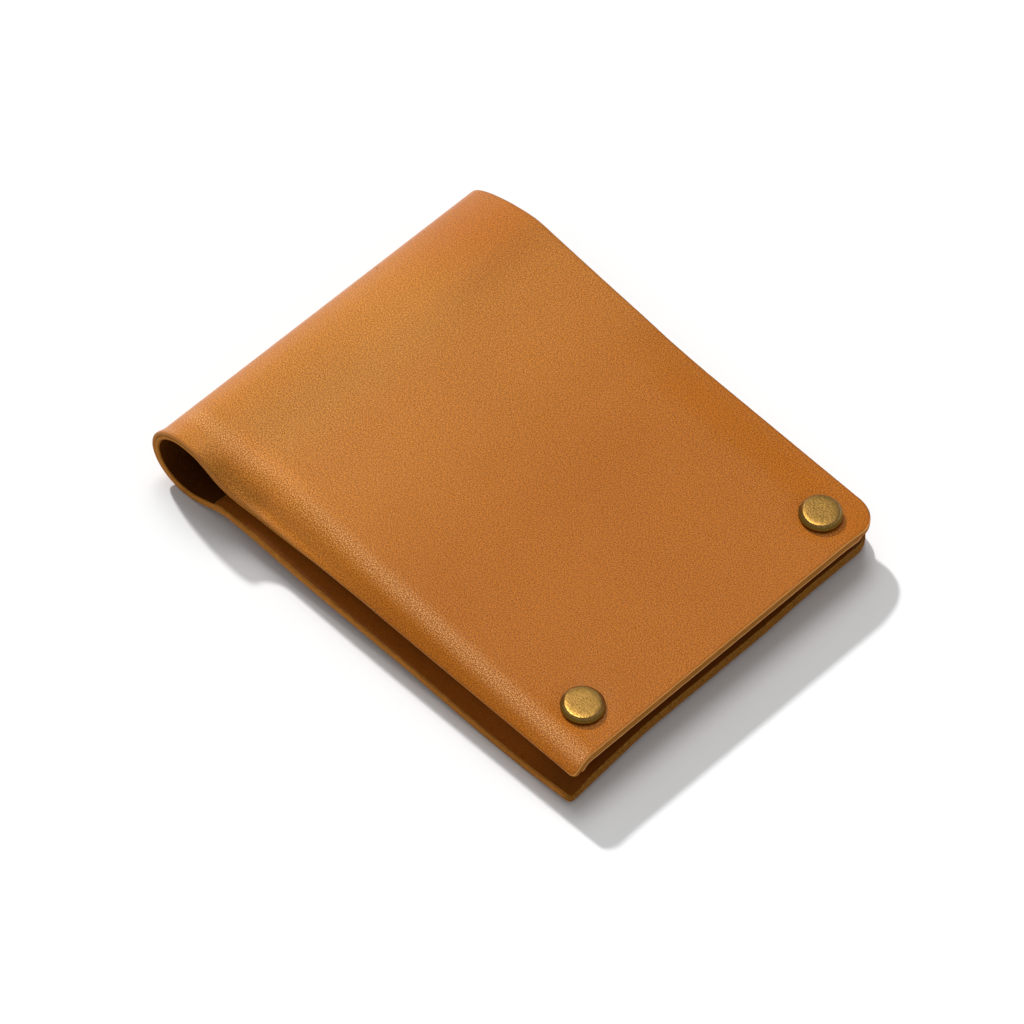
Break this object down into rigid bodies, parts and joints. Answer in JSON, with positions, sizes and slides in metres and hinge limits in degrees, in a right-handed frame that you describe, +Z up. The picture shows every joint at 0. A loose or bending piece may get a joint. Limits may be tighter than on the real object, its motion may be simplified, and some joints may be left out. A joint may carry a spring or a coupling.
{
  "type": "bifold wallet",
  "caption": "Closed bifold leather wallet folded round an open tear-drop spine, with card pocket panels inside its leaves and brass double-cap rivets at the opening corners.",
  "frame": {"origin": "middle of the footprint, on the surface the closed wallet lies on", "axes": "+X from the spine to the opening, +Y along the spine from the curled near margin to the far edge, +Z up out of the upper leaf"},
  "size_m": [0.1144, 0.088, 0.0166],
  "materials": {
    "cover_leather": "tan full-grain leather with a fine pebble grain and a soft sheen",
    "pocket_leather": "darker brown smooth leather, matt",
    "brass": "satin aged brass"
  },
  "bodies": {
    "back_leaf": {"cover_back_leaf": "cover_leather", "cover_spine_strip_1": "cover_leather", "back_pocket_panel": "pocket_leather", "back_near_rivet_cap": "brass", "back_near_rivet_post": "brass", "back_far_rivet_cap": "brass", "back_far_rivet_post": "brass"},
    "spine_2": {"cover_spine_strip_2": "cover_leather"},
    "spine_3": {"cover_spine_strip_3": "cover_leather"},
    "spine_4": {"cover_spine_strip_4": "cover_leather"},
    "spine_5": {"cover_spine_strip_5": "cover_leather"},
    "spine_6": {"cover_spine_strip_6": "cover_leather"},
    "spine_7": {"cover_spine_strip_7": "cover_leather"},
    "spine_8": {"cover_spine_strip_8": "cover_leather"},
    "spine_9": {"cover_spine_strip_9": "cover_leather"},
    "front_leaf": {"cover_spine_strip_10": "cover_leather", "cover_front_leaf": "cover_leather", "front_pocket_panel": "pocket_leather", "front_near_rivet_cap": "brass", "front_near_rivet_post": "brass", "front_far_rivet_cap": "brass", "front_far_rivet_post": "brass"}
  },
  "joints": [
    {"name": "spine_fold_2", "type": "hinge", "parent": "back_leaf", "child": "spine_2", "pos_m": [-0.04201, 0, 0.00125], "axis": [0, -1, 0], "range_deg": [0, 1]},
    {"name": "spine_fold_3", "type": "hinge", "parent": "spine_2", "child": "spine_3", "pos_m": [-0.04686, 0, 0.00002], "axis": [0, -1, 0], "range_deg": [0, 2]},
    {"name": "spine_fold_4", "type": "hinge", "parent": "spine_3", "child": "spine_4", "pos_m": [-0.05183, 0, 0.00053], "axis": [0, -1, 0], "range_deg": [0, 32]},
    {"name": "spine_fold_5", "type": "hinge", "parent": "spine_4", "child": "spine_5", "pos_m": [-0.05579, 0, 0.00359], "axis": [0, -1, 0], "range_deg": [0, 35]},
    {"name": "spine_fold_6", "type": "hinge", "parent": "spine_5", "child": "spine_6", "pos_m": [-0.05727, 0, 0.00837], "axis": [0, -1, 0], "range_deg": [0, 36]},
    {"name": "spine_fold_7", "type": "hinge", "parent": "spine_6", "child": "spine_7", "pos_m": [-0.05565, 0, 0.0131], "axis": [0, -1, 0], "range_deg": [0, 37]},
    {"name": "spine_fold_8", "type": "hinge", "parent": "spine_7", "child": "spine_8", "pos_m": [-0.05152, 0, 0.01591], "axis": [0, -1, 0], "range_deg": [0, 26]},
    {"name": "spine_fold_9", "type": "hinge", "parent": "spine_8", "child": "spine_9", "pos_m": [-0.04657, 0, 0.01663], "axis": [0, -1, 0], "range_deg": [0, 13]},
    {"name": "spine_fold_10", "type": "hinge", "parent": "spine_9", "child": "front_leaf", "pos_m": [-0.04159, 0, 0.01621], "axis": [0, -1, 0], "range_deg": [0, 1]}
  ]
}
